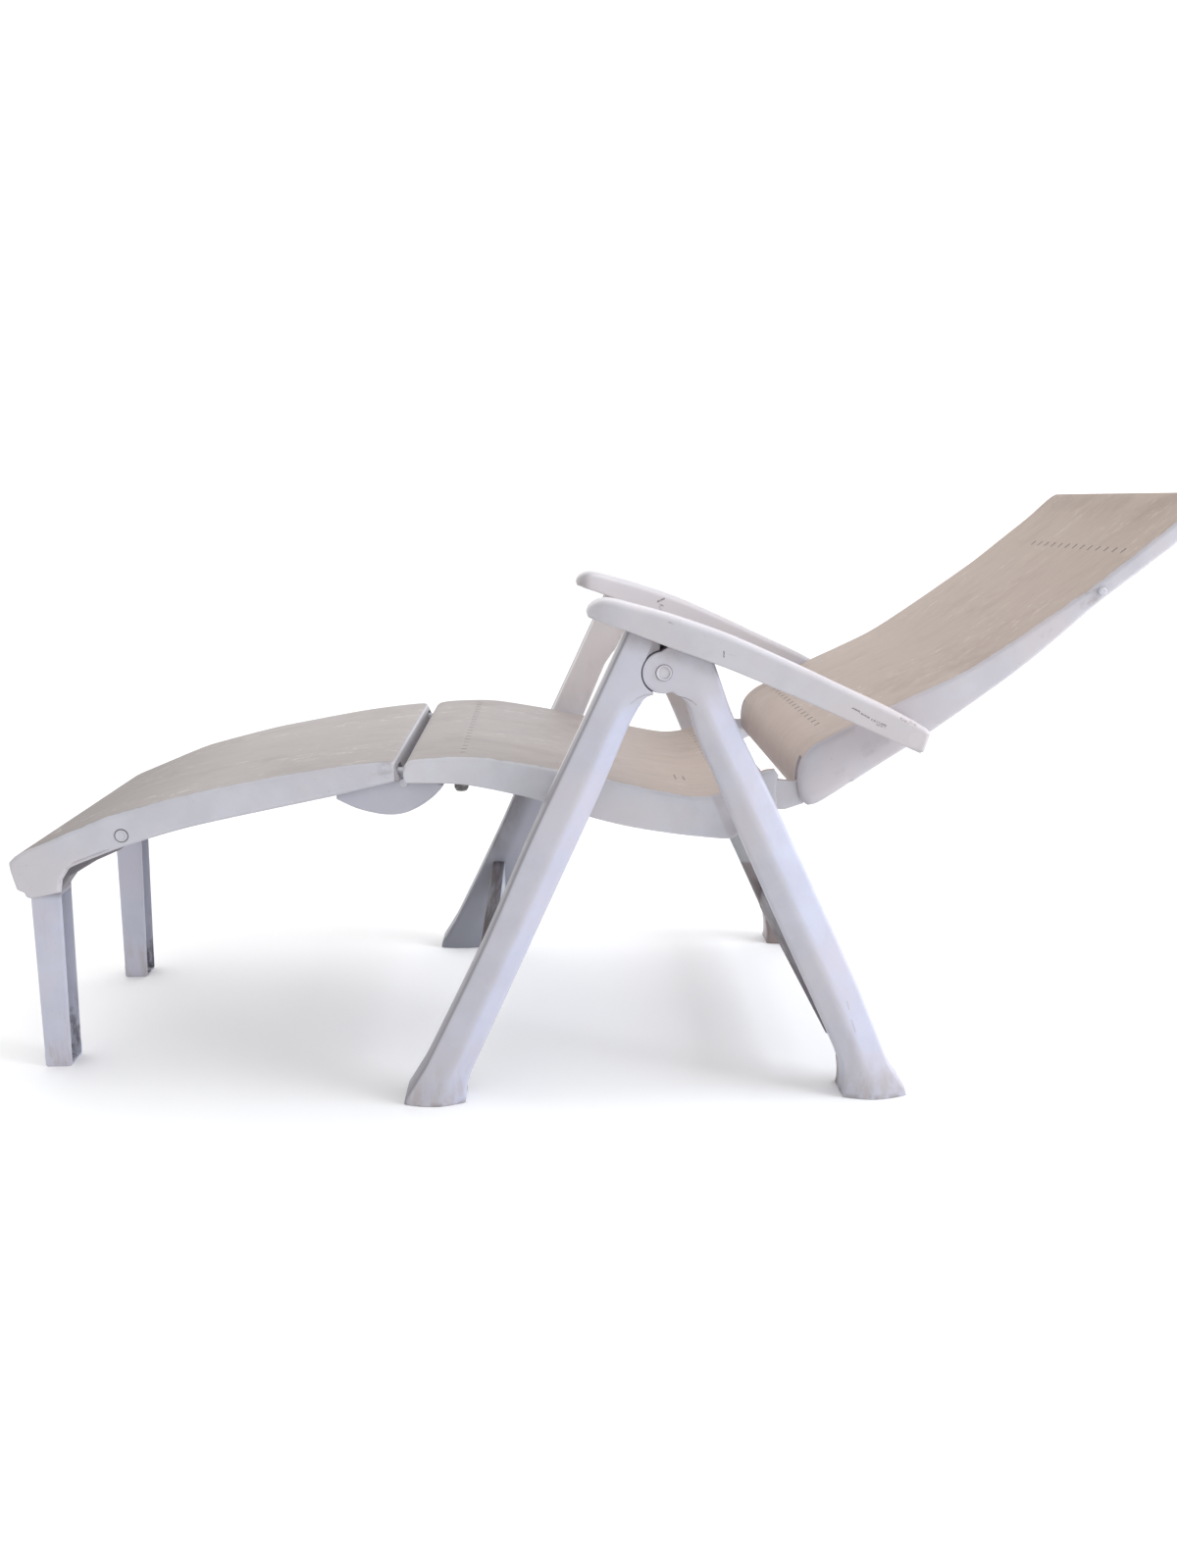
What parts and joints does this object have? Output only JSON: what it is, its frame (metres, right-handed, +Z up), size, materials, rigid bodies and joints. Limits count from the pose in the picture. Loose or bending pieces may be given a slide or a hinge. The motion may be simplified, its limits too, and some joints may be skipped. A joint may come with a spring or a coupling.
{
  "type": "reclining garden chair",
  "caption": "Folding moulded-resin reclining armchair with an A-frame of legs, an adjustable curved backrest and a hinged footrest on folding legs.",
  "frame": {"origin": "on the floor, under the middle of the chair's bounding box as it stands reclined with the footrest out", "axes": "+Y from the footrest towards the head end, +X towards the sitter's left, +Z up"},
  "size_m": [0.672, 1.6556, 0.8385],
  "materials": {
    "frame_resin": "weathered satin white",
    "panel_resin": "weathered satin white with a beige soiled upper face",
    "pin_resin": "satin white",
    "buffer_rubber": "matte dark"
  },
  "bodies": {
    "seat": {"seat_panel": "panel_resin", "seat_side_pin_left": "pin_resin", "seat_side_pin_right": "pin_resin", "back_hinge_pin_left": "pin_resin", "back_hinge_pin_right": "pin_resin", "footrest_hinge_pin_left": "pin_resin", "footrest_hinge_pin_right": "pin_resin", "seat_buffer_left": "buffer_rubber", "seat_buffer_right": "buffer_rubber"},
    "front_frame": {"front_leg_left": "frame_resin", "front_leg_right": "frame_resin", "front_crossbar": "frame_resin", "leg_top_peg_left": "pin_resin", "leg_top_peg_right": "pin_resin", "frame_pivot_pin_left": "pin_resin", "frame_pivot_pin_right": "pin_resin"},
    "rear_frame": {"rear_leg_left": "frame_resin", "rear_leg_right": "frame_resin", "rear_crossbar": "frame_resin", "seat_rest_peg_left": "pin_resin", "seat_rest_peg_right": "pin_resin"},
    "backrest": {"backrest_panel": "panel_resin", "arm_pivot_pin_left": "pin_resin", "arm_pivot_pin_right": "pin_resin", "backrest_side_peg_left": "pin_resin", "backrest_side_peg_right": "pin_resin"},
    "arm_left": {"armrest_left": "frame_resin", "arm_notch_rack_left": "pin_resin"},
    "arm_right": {"armrest_right": "frame_resin", "arm_notch_rack_right": "pin_resin"},
    "footrest": {"footrest_panel": "panel_resin", "footrest_hinge_lobe_left": "frame_resin", "footrest_hinge_lobe_right": "frame_resin", "footrest_leg_pin_left": "pin_resin", "footrest_leg_pin_right": "pin_resin"},
    "footrest_legs": {"footrest_leg_left": "frame_resin", "footrest_leg_right": "frame_resin", "footrest_leg_tie": "frame_resin"}
  },
  "joints": [
    {"name": "back_recline", "type": "hinge", "parent": "seat", "child": "backrest", "pos_m": [0, 0.31875, 0.447], "axis": [1, 0, 0], "range_deg": [0, 42]},
    {"name": "arm_left_pivot", "type": "hinge", "parent": "backrest", "child": "arm_left", "pos_m": [0, 0.41575, 0.52], "axis": [1, 0, 0], "range_deg": [-39.5, 0]},
    {"name": "arm_right_pivot", "type": "hinge", "parent": "backrest", "child": "arm_right", "pos_m": [0, 0.41575, 0.52], "axis": [1, 0, 0], "range_deg": [-39.5, 0]},
    {"name": "frame_fold", "type": "hinge", "parent": "seat", "child": "front_frame", "pos_m": [0, -0.04025, 0.436], "axis": [-1, 0, 0], "range_deg": [0, 38]},
    {"name": "rear_leg_fold", "type": "hinge", "parent": "front_frame", "child": "rear_frame", "pos_m": [0, 0.08175, 0.61], "axis": [-1, 0, 0], "range_deg": [0, 45]},
    {"name": "footrest_raise", "type": "hinge", "parent": "seat", "child": "footrest", "pos_m": [0, -0.27125, 0.444], "axis": [-1, 0, 0], "range_deg": [0, 22]},
    {"name": "footrest_leg_fold", "type": "hinge", "parent": "footrest", "child": "footrest_legs", "pos_m": [0, -0.66325, 0.374], "axis": [1, 0, 0], "range_deg": [0, 115]}
  ],
  "couplings": [
    {"joint": "arm_left_pivot", "follows": "back_recline", "ratio": -0.94},
    {"joint": "arm_right_pivot", "follows": "back_recline", "ratio": -0.94},
    {"joint": "rear_leg_fold", "follows": "frame_fold", "ratio": 1.184}
  ]
}
